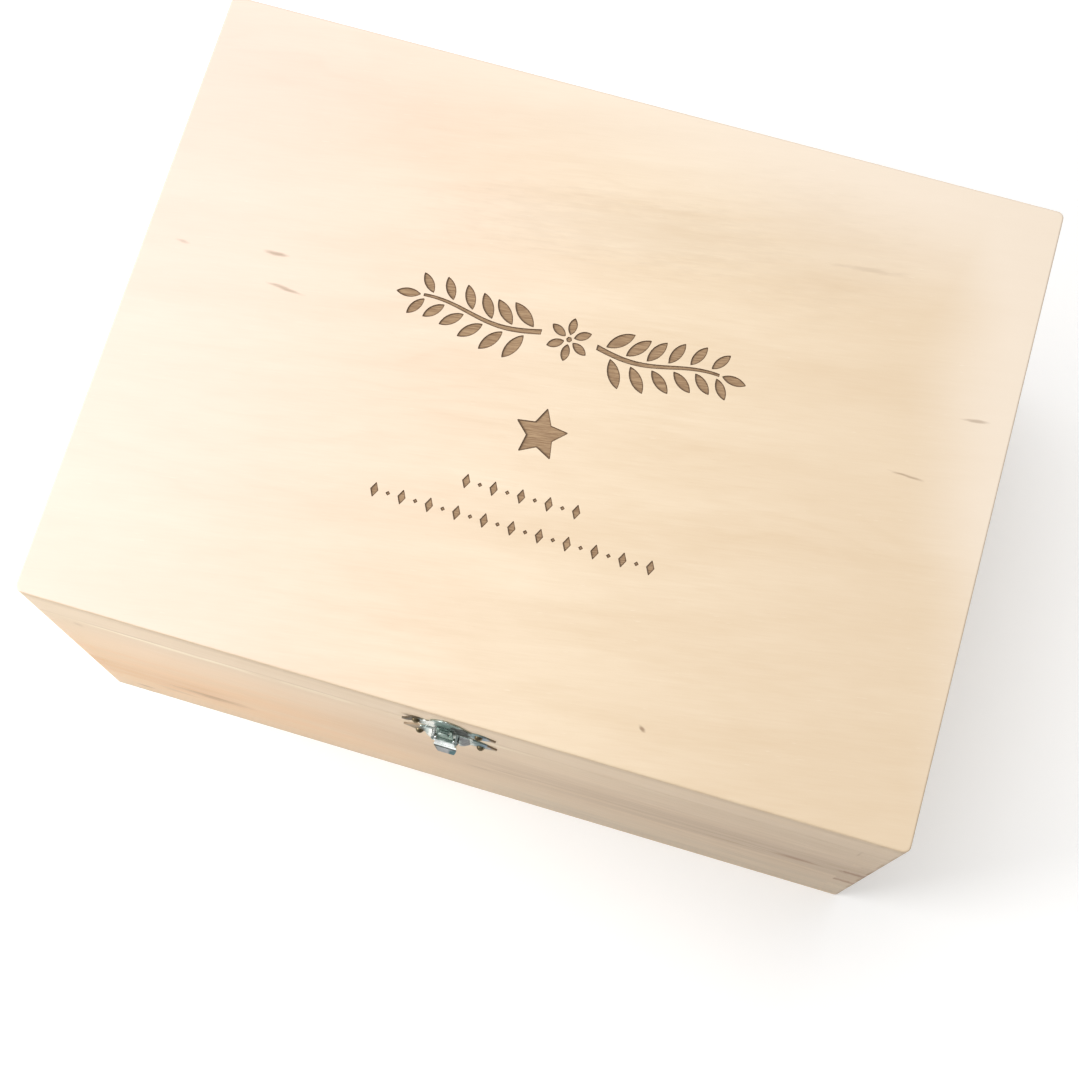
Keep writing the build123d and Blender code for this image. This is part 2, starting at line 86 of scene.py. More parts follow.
# ---------------------------------------------------------------------------
# node trees
# ---------------------------------------------------------------------------
class Tree:
    """Small helper that builds a material's node tree."""

    def __init__(self, name):
        self.mat = bpy.data.materials.new(name)
        self.mat.use_nodes = True
        self.t = self.mat.node_tree
        self.t.nodes.clear()

    def add(self, kind, inputs=None, **attrs):
        n = self.t.nodes.new(kind)
        for k, v in attrs.items():
            setattr(n, k, v)
        for k, v in (inputs or {}).items():
            self.put(n.inputs[k], v)
        return n

    def put(self, socket, v):
        if isinstance(v, bpy.types.NodeSocket):
            self.t.links.new(v, socket)
        else:
            socket.default_value = v

    def m(self, op, a, b=0.0, c=0.0, clamp=False):
        n = self.add("ShaderNodeMath", operation=op, use_clamp=clamp)
        for i, v in enumerate((a, b, c)):
            if i < len(n.inputs):
                self.put(n.inputs[i], v)
        return n.outputs[0]

    def v(self, op, a, b=(0.0, 0.0, 0.0)):
        n = self.add("ShaderNodeVectorMath", operation=op)
        self.put(n.inputs[0], a)
        self.put(n.inputs[1], b)
        return n.outputs["Value"] if op in ("LENGTH", "DOT_PRODUCT") else n.outputs[0]

    def noise(self, vec, scale=1.0, detail=2.0, rough=0.5, distort=0.0):
        n = self.add("ShaderNodeTexNoise", {"Vector": vec, "Scale": scale,
                                            "Detail": detail, "Roughness": rough,
                                            "Distortion": distort})
        return n.outputs[0]

    def sep(self, vec):
        n = self.add("ShaderNodeSeparateXYZ", {0: vec})
        return n.outputs[0], n.outputs[1], n.outputs[2]

    def comb(self, x, y, z):
        return self.add("ShaderNodeCombineXYZ", {0: x, 1: y, 2: z}).outputs[0]

    def mapr(self, v, a, b, c=0.0, d=1.0, smooth=True):
        n = self.add("ShaderNodeMapRange",
                     interpolation_type="SMOOTHSTEP" if smooth else "LINEAR")
        for i, x in enumerate((v, a, b, c, d)):
            self.put(n.inputs[i], x)
        return n.outputs[0]

    def mix(self, f, a, b, blend="MIX"):
        n = self.add("ShaderNodeMix", data_type="RGBA", blend_type=blend)
        self.put(n.inputs[0], f)
        self.put(n.inputs[6], a)
        self.put(n.inputs[7], b)
        return n.outputs[2]

    def ramp(self, f, stops, mode="LINEAR"):
        n = self.add("ShaderNodeValToRGB", {0: f})
        r = n.color_ramp
        r.interpolation = mode
        while len(r.elements) > 1:
            r.elements.remove(r.elements[-1])
        r.elements[0].position, r.elements[0].color = stops[0]
        for p, c in stops[1:]:
            r.elements.new(p).color = c
        return n.outputs[0]

    def grey(self, f, stops, mode="LINEAR"):
        return self.ramp(f, [(p, (c, c, c, 1.0)) for p, c in stops], mode)

    def scale(self, colour, k):
        """colour times a varying factor k."""
        n = self.add("ShaderNodeVectorMath", operation="SCALE")
        self.put(n.inputs[0], colour)
        self.put(n.inputs["Scale"], k)
        return n.outputs[0]

    def object_mm(self):
        """Position on the piece at rest, in millimetres."""
        tc = self.add("ShaderNodeTexCoord")
        n = self.add("ShaderNodeVectorMath", operation="SCALE")
        self.put(n.inputs[0], tc.outputs["Object"])
        self.put(n.inputs["Scale"], 1000.0)
        return n.outputs[0], tc.outputs["Normal"]

    def bump(self, height, distance_mm, strength=1.0, normal=None):
        ins = {"Height": height, "Distance": distance_mm * MM,
               "Strength": strength}
        if normal is not None:
            ins["Normal"] = normal
        return self.add("ShaderNodeBump", ins).outputs[0]

    def finish(self, colour, rough, normal=None, metallic=0.0, **more):
        p = self.add("ShaderNodeBsdfPrincipled")
        self.put(p.inputs["Base Color"], colour)
        self.put(p.inputs["Roughness"], rough)
        self.put(p.inputs["Metallic"], metallic)
        if normal is not None:
            self.put(p.inputs["Normal"], normal)
        for k, v in more.items():
            self.put(p.inputs[k], v)
        o = self.add("ShaderNodeOutputMaterial")
        self.t.links.new(p.outputs[0], o.inputs[0])
        return self.mat


# ---------------------------------------------------------------------------
# wood
# ---------------------------------------------------------------------------
PINE_LIGHT = lin(236, 214, 184, 0.90)
PINE_DARK = lin(205, 172, 135, 0.90)
PINE_BROWN = lin(150, 112, 80, 0.90)
END_LIGHT = lin(232, 208, 177, 0.89)
END_DARK = lin(207, 177, 142, 0.88)


def spots(g, a, c, wob, items):
    """Sum of soft, ragged dark streaks. items: (a0, c0, ra, rc, tilt, k)."""
    total = None
    for a0, c0, ra, rc, tilt, k in items:
        co, si = math.cos(math.radians(tilt)), math.sin(math.radians(tilt))
        da = g.m("SUBTRACT", a, a0)
        dc = g.m("SUBTRACT", c, c0)
        u = g.m("ADD", g.m("MULTIPLY", da, co / ra), g.m("MULTIPLY", dc, si / ra))
        w = g.m("SUBTRACT", g.m("MULTIPLY", dc, co / rc),
                g.m("MULTIPLY", da, si / rc))
        d = g.m("SQRT", g.m("ADD", g.m("MULTIPLY", u, u), g.m("MULTIPLY", w, w)))
        d = g.m("ADD", d, wob)
        s = g.m("MULTIPLY", g.mapr(d, 1.0, 0.15), k)
        total = s if total is None else g.m("MAXIMUM", total, s)
    return total


def board_wood(name, grain, seed, pith, ring, items=(), bands=(), fade=None,
               figure=0.22, deep=0.0):
    """Solid softwood: growth rings around a pith line along the grain, long
    fibres, fine pores, and darker open end grain on the faces across it."""
    g = Tree(name)
    pos, nrm = g.object_mm()
    x, y, z = g.sep(pos)
    nx, ny, nz = g.sep(nrm)
    a, b, c = (x, y, z) if grain == "x" else (y, x, z)
    na = nx if grain == "x" else ny
    base = g.comb(a, b, c)
    base = g.v("ADD", base, (seed * 131.7, seed * 57.3, seed * 91.1))

    def stretched(la, lb, lc, detail=2.0, rough=0.5, shift=0.0):
        p = g.v("MULTIPLY", base, (1.0 / la, 1.0 / lb, 1.0 / lc))
        if shift:
            p = g.v("ADD", p, (shift, shift * 1.7, shift * 0.6))
        return g.noise(p, 1.0, detail, rough)

    w1 = g.m("MULTIPLY", g.m("SUBTRACT", stretched(520, 70, 60, 1.0), 0.5),
             90.0 * figure)
    w2 = g.m("MULTIPLY", g.m("SUBTRACT", stretched(110, 22, 18, 2.0, shift=9.1), 0.5), 5.0)
    w = g.m("ADD", w1, w2)
    bb = g.m("ADD", g.m("SUBTRACT", b, pith[0]), w)
    cc = g.m("ADD", g.m("SUBTRACT", c, pith[1]), w)
    r = g.m("SQRT", g.m("ADD", g.m("MULTIPLY", bb, bb), g.m("MULTIPLY", cc, cc)))
    r = g.m("DIVIDE", r, ring)
    t = g.m("FRACT", r)
    late = g.grey(t, [(0.0, 0.10), (0.35, 0.0), (0.72, 0.42), (0.93, 1.0),
                      (1.0, 0.10)])
    uneven = g.mapr(stretched(160, 30, 24, 1.0, shift=3.3), 0.35, 0.68, 0.15, 1.0)
    late = g.m("MULTIPLY", late, uneven)
    tone = g.mapr(stretched(260, 60, 34, 2.0, shift=5.7), 0.30, 0.70)
    fine = stretched(26, 0.7, 0.7, 3.0, 0.6, shift=1.9)
    finer = stretched(9, 0.32, 0.32, 2.0, 0.6, shift=7.4)
    pores = g.mapr(stretched(6.5, 0.45, 0.45, 1.0, shift=2.2), 0.66, 0.76)

    k = g.m("ADD", g.m("MULTIPLY", late, figure), deep + max(0.0, 0.20 - figure))
    k = g.m("ADD", k, g.m("MULTIPLY", tone, 0.5 * figure + 0.10))
    k = g.m("ADD", k, g.m("MULTIPLY", g.m("SUBTRACT", fine, 0.5), 0.34))
    k = g.m("ADD", k, g.m("MULTIPLY", g.m("SUBTRACT", finer, 0.5), 0.22))
    k = g.m("ADD", k, g.m("MULTIPLY", pores, 0.10), clamp=True)
    colour = g.mix(k, PINE_LIGHT, PINE_DARK)

    # end grain: a little darker, ringed, dotted with pores
    ek = g.m("ADD", g.m("MULTIPLY", late, 0.30),
             g.m("MULTIPLY", g.m("SUBTRACT", finer, 0.20), 0.6), clamp=True)
    end = g.mix(ek, END_LIGHT, END_DARK)
    f = g.mapr(g.m("ABSOLUTE", na), 0.55, 0.9)
    colour = g.mix(f, colour, end)

    if bands:                    # broad tinted bands along the front: grain tone, and painted shade towards the right and the lower right
        facing = g.mapr(ny, -0.55, -0.9)
        wave = g.m("MULTIPLY", g.m("SUBTRACT", stretched(190, 40, 30, 2.0, shift=4.4), 0.5), 11.0)
        cw = g.m("ADD", z, wave)
        streaky = g.m("MULTIPLY", g.mapr(fine, 0.25, 0.75, 0.74, 1.0),
                      g.mapr(stretched(170, 16, 9, 3.0, shift=6.6), 0.32, 0.62, 0.62, 1.0))
        for c0, half, core, a0, a1, kk, col in bands:
            d = g.m("ABSOLUTE", g.m("SUBTRACT", cw, c0))
            s = g.mapr(d, half, half * core)
            s = g.m("MULTIPLY", s, g.mapr(x, a0, a1))
            s = g.m("MULTIPLY", s, streaky)
            if grain == "y":
                s = g.m("MULTIPLY", s, facing)
            colour = g.mix(g.m("MULTIPLY", s, kk), colour, col)
    # the sawn joint between lid and base: a painted highlight below it and painted shade above it, both patchy
    up = g.mapr(z, 186.95, 187.05)
    ragged_mask = g.mapr(stretched(44, 9, 9, 3.0, 0.6, shift=8.8), 0.40, 0.62, 0.12, 1.0)
    if fade:
        ragged_mask = g.m("MULTIPLY", ragged_mask, g.mapr(a, fade[0], fade[1], 0.15, 1.0))
    painted_light = g.m("MULTIPLY", g.m("SUBTRACT", 1.0, up), g.mapr(z, 177.0, 184.5))
    colour = g.mix(g.m("MULTIPLY", g.m("MULTIPLY", painted_light, ragged_mask), 0.52), colour,
                   lin(252, 240, 212, 0.95))
    seam_shade = g.m("MULTIPLY", up, g.mapr(z, 192.0, 188.6))
    colour = g.mix(g.m("MULTIPLY", g.m("MULTIPLY", seam_shade, ragged_mask), 0.30), colour,
                   lin(176, 150, 116, 0.9))

    # darker band just under the top board, patchy along its length
    rim = g.m("MULTIPLY", g.mapr(z, 213.0, 220.0), g.mapr(stretched(40, 6, 6, 2.0, shift=5.1), 0.30, 0.60, 0.5, 1.0))
    colour = g.mix(g.m("MULTIPLY", rim, 0.32), colour, lin(180, 155, 122, 0.9))
    if items:                    # single streaks and small knots
        wob = g.m("MULTIPLY", g.m("SUBTRACT", stretched(14, 3, 2.2, 3.0, shift=6.1), 0.5), 1.5)
        s = spots(g, a, c, wob, items)
        colour = g.mix(s, colour, PINE_BROWN)
    rough = g.mapr(fine, 0.3, 0.7, 0.52, 0.66)
    height = g.m("ADD", g.m("MULTIPLY", fine, 0.6), g.m("MULTIPLY", late, -0.25))
    height = g.m("ADD", height, g.m("MULTIPLY", pores, -0.5))
    n = g.bump(height, 0.06, 0.55)
    return g.finish(colour, rough, n)


def veneer(name, seed, tilt, painted_light=True, items=(), light=None, dark=None):
    """Rotary-cut face veneer of the plywood: calm cream figure, soft clouds,
    short fine pores; the grain runs along X, turned by tilt degrees."""
    g = Tree(name)
    pos, nrm = g.object_mm()
    x, y, z = g.sep(pos)
    co, si = math.cos(math.radians(tilt)), math.sin(math.radians(tilt))
    u = g.m("ADD", g.m("MULTIPLY", x, co), g.m("MULTIPLY", y, si))
    v = g.m("SUBTRACT", g.m("MULTIPLY", y, co), g.m("MULTIPLY", x, si))
    base = g.comb(g.m("ADD", u, seed * 211.0), g.m("ADD", v, seed * 97.0),
                  g.m("ADD", g.m("MULTIPLY", z, 0.2), seed * 13.0))

    def stretched(lu, lv, detail=2.0, rough=0.5, shift=0.0, warp=None):
        p = base
        if warp is not None:
            p = g.v("ADD", p, g.comb(0.0, warp, 0.0))
        p = g.v("MULTIPLY", p, (1.0 / lu, 1.0 / lv, 0.05))
        if shift:
            p = g.v("ADD", p, (shift, shift * 1.7, shift * 0.6))
        return g.noise(p, 1.0, detail, rough)

    warp = g.m("MULTIPLY", g.m("SUBTRACT", stretched(260, 80, 2.0, shift=2.1), 0.5), 60.0)
    figure = stretched(330, 17, 3.0, 0.55, shift=4.2, warp=warp)
    clouds = stretched(62, 15, 3.0, 0.6, shift=6.3)
    broad = stretched(240, 120, 1.0, shift=8.4)
    fine = stretched(17, 0.8, 3.0, 0.6, shift=1.3)
    finer = stretched(7, 0.34, 2.0, 0.6, shift=3.9)
    dash = g.mapr(stretched(5.0, 0.5, 1.0, shift=5.2), 0.70, 0.80)
    # contour lines of the rotary cut
    h = g.m("ADD", g.m("MULTIPLY", g.m("ADD", v, warp), 1.0 / 13.0),
            g.m("MULTIPLY", stretched(120, 40, 2.0, shift=9.7), 5.0))
    line = g.grey(g.m("FRACT", h), [(0.0, 0.0), (0.55, 0.0), (0.86, 1.0), (1.0, 0.0)])
    line = g.m("MULTIPLY", line, g.mapr(stretched(150, 50, 1.0, shift=7.7), 0.42, 0.70))

    k = g.m("ADD", 0.34, g.m("MULTIPLY", g.m("SUBTRACT", figure, 0.5), 0.95))
    k = g.m("ADD", k, g.m("MULTIPLY", g.m("SUBTRACT", clouds, 0.5), 0.62))
    k = g.m("ADD", k, g.m("MULTIPLY", g.m("SUBTRACT", broad, 0.5), 0.45))
    k = g.m("ADD", k, g.m("MULTIPLY", g.m("SUBTRACT", fine, 0.5), 0.40))
    k = g.m("ADD", k, g.m("MULTIPLY", g.m("SUBTRACT", finer, 0.5), 0.22))
    k = g.m("ADD", k, g.m("MULTIPLY", line, 0.16))
    k = g.m("ADD", k, g.m("MULTIPLY", dash, 0.22), clamp=True)
    light = light or lin(247, 226, 196, 0.85)
    dark = dark or lin(230, 202, 165, 0.85)
    colour = g.mix(k, light, dark)
    if painted_light:                     # painted sheen: whiter towards the left edge
        drift = g.m("MULTIPLY", warp, 0.6)
        xs = g.m("ADD", x, drift)
        side = g.mapr(xs, 60.0, -230.0)
        colour = g.mix(g.m("MULTIPLY", side, 0.62), colour, lin(251, 226, 217, 0.86))
        # painted shade: darker towards the right, where the light falls off
        side = g.mapr(xs, -20.0, 170.0)
        colour = g.mix(g.m("MULTIPLY", side, 0.45), colour, lin(226, 200, 166, 0.86))
        # painted sheen again in the far right corner
        far = g.m("ADD", g.m("MULTIPLY", x, 0.16), y)
        far = g.mapr(g.m("ADD", far, drift), 88.0, 176.0)
        near = g.m("ADD", g.m("MULTIPLY", y, 0.25), x)
        near = g.mapr(g.m("ADD", near, drift), 160.0, 212.0)
        far = g.m("MAXIMUM", far, near)
        colour = g.mix(g.m("MULTIPLY", far, 0.75), colour, lin(250, 235, 217, 0.86))
    fleck = g.mapr(stretched(6.5, 0.9, 1.0, shift=11.3), 0.72, 0.84)
    colour = g.mix(g.m("MULTIPLY", fleck, 0.20), colour, lin(254, 242, 224, 0.9))
    if items:
        wob = g.m("MULTIPLY", g.m("SUBTRACT", stretched(9, 1.6, 3.0, shift=2.7), 0.5), 1.3)
        s = spots(g, x, y, wob, items)
        colour = g.mix(s, colour, lin(140, 108, 78, 0.9))
    rough = g.mapr(fine, 0.3, 0.7, 0.46, 0.58)
    height = g.m("ADD", g.m("MULTIPLY", fine, 0.7), g.m("MULTIPLY", dash, -0.6))
    height = g.m("ADD", height, g.m("MULTIPLY", finer, 0.3))
    n = g.bump(height, 0.035, 0.5)
    return g.finish(colour, rough, n)


def ply_edge(name, z0, seed):
    """Sanded edge of three-ply board: two long-grained face plies and a
    darker core, with thin glue lines between them."""
    g = Tree(name)
    pos, nrm = g.object_mm()
    x, y, z = g.sep(pos)
    nx, ny, nz = g.sep(nrm)
    wave = g.noise(g.v("MULTIPLY", pos, (0.02, 0.02, 0.0)), 1.0, 2.0)
    h = g.m("ADD", g.m("DIVIDE", g.m("SUBTRACT", z, z0), PLY),
            g.m("MULTIPLY", g.m("SUBTRACT", wave, 0.5), 0.07))
    core = g.m("MULTIPLY", g.mapr(h, 0.29, 0.32), g.mapr(h, 0.71, 0.68))
    g1 = g.mapr(g.m("ABSOLUTE", g.m("SUBTRACT", h, 0.31)), 0.035, 0.012)
    g2 = g.mapr(g.m("ABSOLUTE", g.m("SUBTRACT", h, 0.69)), 0.035, 0.012)
    glue = g.m("MAXIMUM", g1, g2)
    # along the edge: long fibres in one family of plies, dots in the other
    along = g.noise(g.v("MULTIPLY", pos, (0.06, 0.06, 2.6)), 1.0, 3.0, 0.6)
    dots = g.noise(g.v("MULTIPLY", pos, (2.2, 2.2, 2.4)), 1.0, 2.0, 0.6)
    sidef = g.mapr(g.m("ABSOLUTE", nx), 0.6, 0.8)
    endish = g.m("ABSOLUTE", g.m("SUBTRACT", core, sidef))
    long_c = g.mix(g.mapr(along, 0.3, 0.7), lin(238, 216, 184, 0.88), lin(218, 190, 156, 0.88))
    end_c = g.mix(g.mapr(dots, 0.35, 0.68), lin(226, 200, 166, 0.88), lin(196, 164, 128, 0.87))
    colour = g.mix(endish, long_c, end_c)
    colour = g.mix(g.m("MULTIPLY", glue, 0.22), colour, lin(140, 110, 82, 0.9))
    rag = g.noise(g.v("MULTIPLY", pos, (0.11, 0.11, 0.4)), 1.0, 3.0, 0.6)
    # darker towards the bottom of the edge, with a ragged border
    ragged_mask = g.mapr(g.m("ADD", h, g.m("MULTIPLY", g.m("SUBTRACT", rag, 0.5), 1.2)), 0.75, 0.05)
    colour = g.mix(g.m("MULTIPLY", ragged_mask, 0.24), colour, lin(166, 140, 108, 0.9))
    rough = g.mapr(along, 0.3, 0.7, 0.55, 0.7)
    n = g.bump(g.m("ADD", g.m("MULTIPLY", dots, 0.5), g.m("MULTIPLY", glue, -0.8)), 0.08, 0.6)
    return g.finish(colour, rough, n)


def burnt(name, tilt):
    """Laser-burnt wood: mid brown floor with fine grain lines, dark walls.
    The mesh attribute 'rim' is 1 at a pocket's foot and wall, 0 inside, and reaches further across the floor beside
    walls on the side toward the light, as painted shadow."""
    g = Tree(name)
    pos, nrm = g.object_mm()
    x, y, z = g.sep(pos)
    co, si = math.cos(math.radians(tilt)), math.sin(math.radians(tilt))
    u = g.m("ADD", g.m("MULTIPLY", x, co), g.m("MULTIPLY", y, si))
    v = g.m("SUBTRACT", g.m("MULTIPLY", y, co), g.m("MULTIPLY", x, si))
    p = g.comb(u, v, z)
    lines = g.noise(g.v("MULTIPLY", p, (0.09, 1.9, 0.2)), 1.0, 3.0, 0.6)
    fine = g.noise(g.v("MULTIPLY", p, (0.3, 4.6, 0.2)), 1.0, 2.0, 0.6)
    patch = g.noise(g.v("MULTIPLY", p, (0.05, 0.12, 0.2)), 1.0, 2.0, 0.5)
    k = g.m("ADD", g.mapr(lines, 0.30, 0.70), g.m("MULTIPLY", g.m("SUBTRACT", fine, 0.5), 0.9))
    k = g.m("ADD", k, g.m("MULTIPLY", g.m("SUBTRACT", patch, 0.5), 0.7), clamp=True)
    colour = g.mix(k, lin(182, 150, 114, 0.88), lin(140, 108, 76, 0.88))
    rim = g.add("ShaderNodeAttribute", attribute_name="rim").outputs["Fac"]
    rk = g.m("ADD", rim, g.m("MULTIPLY", g.m("SUBTRACT", fine, 0.5), 0.5))
    colour = g.mix(g.mapr(rk, 0.05, 0.95), colour, lin(98, 72, 46, 0.85))
    rough = g.mapr(fine, 0.3, 0.7, 0.62, 0.8)
    n = g.bump(g.m("ADD", lines, g.m("MULTIPLY", fine, 0.5)), 0.07, 0.7)
    return g.finish(colour, rough, n)


# ---------------------------------------------------------------------------
# metal
# ---------------------------------------------------------------------------
# tones for the metal boxes: the darkest, green, teal and mauve are painted shade, blue is a painted reflection,
# bright a painted highlight; brown and tan colour the points of the plates, and brown also paints shade
STAINS_AND_PAINTED_LIGHT = {
    "dirt_and_shade": lin(42, 44, 38, 0.9),
    "green": lin(92, 118, 106, 0.9),
    "teal": lin(84, 118, 122, 0.9),
    "blue": lin(112, 142, 172, 0.9),
    "brown": lin(96, 78, 56, 0.9),
    "tan": lin(158, 132, 102, 0.9),
    "mauve": lin(126, 120, 124, 0.9),
    "bright": lin(250, 250, 246, 0.98),
}


def metal(name, light, dark, seed, r0, r1, dirt_and_shade=0.25, grime_and_painted_light=None):
    """Thin plated sheet: cloudy tone, uneven polish, fine scratches and
    specks of tarnish. The last argument holds boxes (x0, x1, p0, p1, z0, z1, k, tone) in
    mm, p counted outwards from the front, where a tone is painted on the
    sheet: mostly painted shade, with painted highlights, painted reflections and the brown points of the plates."""
    g = Tree(name)
    pos, nrm = g.object_mm()
    p = g.v("ADD", pos, (seed * 17.0, seed * 29.0, seed * 41.0))
    cloud = g.noise(p, 0.30, 3.0, 0.55)
    speck = g.noise(p, 1.9, 3.0, 0.65)
    scratch = g.noise(g.v("MULTIPLY", p, (0.5, 6.0, 6.0)), 1.0, 2.0, 0.6)
    k = g.m("ADD", g.mapr(cloud, 0.32, 0.68), g.m("MULTIPLY", g.m("SUBTRACT", speck, 0.5), 0.6), clamp=True)
    colour = g.mix(k, light, dark)
    tarnish = g.m("MULTIPLY", g.mapr(speck, 0.60, 0.74), dirt_and_shade)
    dull = tarnish
    if grime_and_painted_light:
        x, y, z = g.sep(pos)
        out = g.m("SUBTRACT", -DEPTH / 2, y)
        rag = g.m("MULTIPLY", g.m("SUBTRACT", speck, 0.5), 1.0)
        rag2 = g.m("MULTIPLY", g.m("SUBTRACT", cloud, 0.5), 7.0)
        xr, zr = g.m("ADD", x, g.m("ADD", rag2, rag)), g.m("SUBTRACT", z, g.m("ADD", rag2, rag))
        # each box mixes its tone into the colour: painted shade, painted reflections, painted highlights and the
        # brown points of the plates
        for x0, x1, p0, p1, z0, z1, kk, tone in grime_and_painted_light:
            f = g.m("MULTIPLY", g.mapr(out, p0 - 0.12, p0 + 0.12),
                    g.mapr(out, p1 + 0.3, p1 - 0.3))
            f = g.m("MULTIPLY", f, g.m("MULTIPLY", g.mapr(zr, z0 - 0.9, z0 + 0.9),
                                       g.mapr(zr, z1 + 0.9, z1 - 0.9)))
            f = g.m("MULTIPLY", f, g.m("MULTIPLY", g.mapr(xr, x0 - 0.9, x0 + 0.9),
                                       g.mapr(xr, x1 + 0.9, x1 - 0.9)))
            f = g.m("MULTIPLY", f, kk)
            colour = g.mix(f, colour, STAINS_AND_PAINTED_LIGHT[tone])
            if tone != "bright":
                dull = g.m("MAXIMUM", dull, f)
    colour = g.mix(tarnish, colour, lin(44, 42, 38, 0.8))
    rough = g.mapr(g.m("ADD", cloud, g.m("MULTIPLY", g.m("SUBTRACT", scratch, 0.5), 0.5)), 0.3, 0.75, r0, r1)
    rough = g.m("ADD", rough, g.m("MULTIPLY", dull, 0.30))
    n = g.bump(g.m("ADD", g.m("MULTIPLY", cloud, 0.8), g.m("MULTIPLY", scratch, 0.08)), 0.2, 0.35)
    # painted tones other than highlights, and tarnish, are not metal, and grazing light is dimmed on dark sheet
    shine = g.mapr(dull, 0.0, 0.9, 1.0, 0.0, smooth=False)
    edge = g.mix(0.62, (1.0, 1.0, 1.0, 1.0), colour)
    gloss = g.mapr(dull, 0.1, 0.8, 0.20, 0.03, smooth=False)
    return g.finish(colour, rough, n, metallic=shine,
                    **{"Specular Tint": edge, "Specular IOR Level": gloss})


FRONT_STREAKS = (
    (166.0, 100.0, 18.0, 6.8, 7.0, 0.80),
    (128.0, 92.0, 34.0, 4.0, 2.0, 0.24),
    (150.0, 99.0, 12.0, 2.0, 2.0, 0.35),
    (25.0, 100.0, 13.0, 2.2, 4.0, 0.30),
    (8.0, 88.0, 9.0, 2.4, 3.0, 0.30),
    (-137.0, 52.0, 25.0, 9.0, 1.0, 0.50),
    (-158.0, 36.0, 14.0, 6.0, 0.0, 0.26),
    (-179.0, 17.0, 7.0, 4.0, 0.0, 0.50),
    (-122.0, 58.0, 12.0, 3.4, 5.0, 0.25),
    (-181.0, 176.0, 3.4, 5.0, 0.0, 0.22),
    (188.5, 102.0, 5.0, 6.5, 0.0, 0.42),
    (185.0, 179.0, 0.9, 11.0, 0.0, 0.30),
)
FRONT_TONE_AND_SHADE = (                  # z, half width, core, x from, x to, k, colour; grain tone, and painted shade in two rows
    (110.0, 150.0, 0.2, -152.0, -190.0, 0.46, lin(200, 178, 142, 0.9)),
    (82.0, 112.0, 0.2, 40.0, -100.0, 0.72, lin(232, 186, 138, 0.91)),
    (150.0, 46.0, 0.2, 20.0, -30.0, 0.34, lin(236, 210, 180, 0.92)),
    (62.0, 30.0, 0.4, -104.0, -140.0, 0.48, lin(208, 158, 104, 0.9)),
    (106.0, 64.0, 0.2, -112.0, 80.0, 0.76, lin(186, 160, 132, 0.9)),
    (208.0, 26.0, 0.2, 20.0, 190.0, 0.30, lin(206, 176, 144, 0.9)),
    # painted shade: greyer and darker at the lower right
    (4.0, 84.0, 0.2, -50.0, 60.0, 0.58, lin(182, 170, 152, 0.9)),
    # painted shade: darker towards the right over the whole height
    (100.0, 220.0, 0.9, -10.0, 190.0, 0.30, lin(150, 128, 104, 0.9)),
    (168.0, 28.0, 0.5, 10.0, 90.0, 0.12, lin(160, 140, 118, 0.9)),
    (104.0, 34.0, 0.7, 10.0, 150.0, 0.10, lin(150, 126, 102, 0.9)),
    (99.0, 17.0, 0.5, 20.0, 140.0, 0.22, lin(148, 126, 104, 0.9)),
    (205.0, 20.0, 0.5, -230.0, -190.0, 0.20, lin(240, 222, 196, 0.92)),
)
wood_front = board_wood("pine_front", "x", 1.0, (-20.0, 150.0), 4.2,
                        FRONT_STREAKS, FRONT_TONE_AND_SHADE, (110.0, -40.0), 0.055, 0.15)
wood_back = board_wood("pine_back", "x", 2.0, (215.0, 88.0), 4.6,
                       ((60.0, 70.0, 14.0, 3.0, 2.0, 0.45),
                        (-130.0, 150.0, 10.0, 2.0, -3.0, 0.35)),
                       (), (-400.0, -500.0))
wood_left = board_wood("pine_left", "y", 3.0, (-255.0, 120.0), 4.4,
                       ((40.0, 120.0, 12.0, 2.6, 3.0, 0.40),),
                       FRONT_TONE_AND_SHADE, (-400.0, -500.0))
wood_right = board_wood("pine_right", "y", 4.0, (262.0, 70.0), 4.0,
                        ((-60.0, 50.0, 13.0, 3.2, -2.0, 0.45),
                         (70.0, 140.0, 9.0, 2.0, 2.0, 0.30),
                         (-150.0, 105.0, 2.6, 5.6, 0.0, 0.90),
                         (-150.0, 69.0, 2.6, 7.0, 0.0, 0.72)),
                        FRONT_TONE_AND_SHADE, (-400.0, -500.0))

GRAIN_TILT = 9.0
veneer_top = veneer("ply_face_top", 1.0, GRAIN_TILT, True, (
    (-140.0, 31.0, 7.0, 1.3, 4.0, 0.55),
    (-130.0, 16.0, 10.0, 1.2, -4.0, 0.50),
    (-182.0, 25.0, 4.0, 1.1, 0.0, 0.30),
    (160.0, 9.0, 11.0, 0.9, -3.0, 0.60),
    (184.0, 42.0, 8.0, 1.1, 8.0, 0.45),
    (78.9, -131.2, 2.5, 1.2, -35.0, 0.78),
    (118.0, 98.0, 26.0, 2.2, 6.0, 0.20),
    (22.0, 88.0, 120.0, 24.0, 8.0, 0.10),
    (92.0, 100.0, 60.0, 44.0, 8.0, 0.055),
))
veneer_under = veneer("ply_face_underside", 2.0, -4.0, False)
veneer_inside = veneer("ply_face_inside", 3.0, 5.0, False)
edge_top = ply_edge("ply_edge_lid", FRAME_TOP, 1.0)
edge_bottom = ply_edge("ply_edge_base", 0.0, 2.0)
burnt_wood = burnt("burnt_wood", GRAIN_TILT)

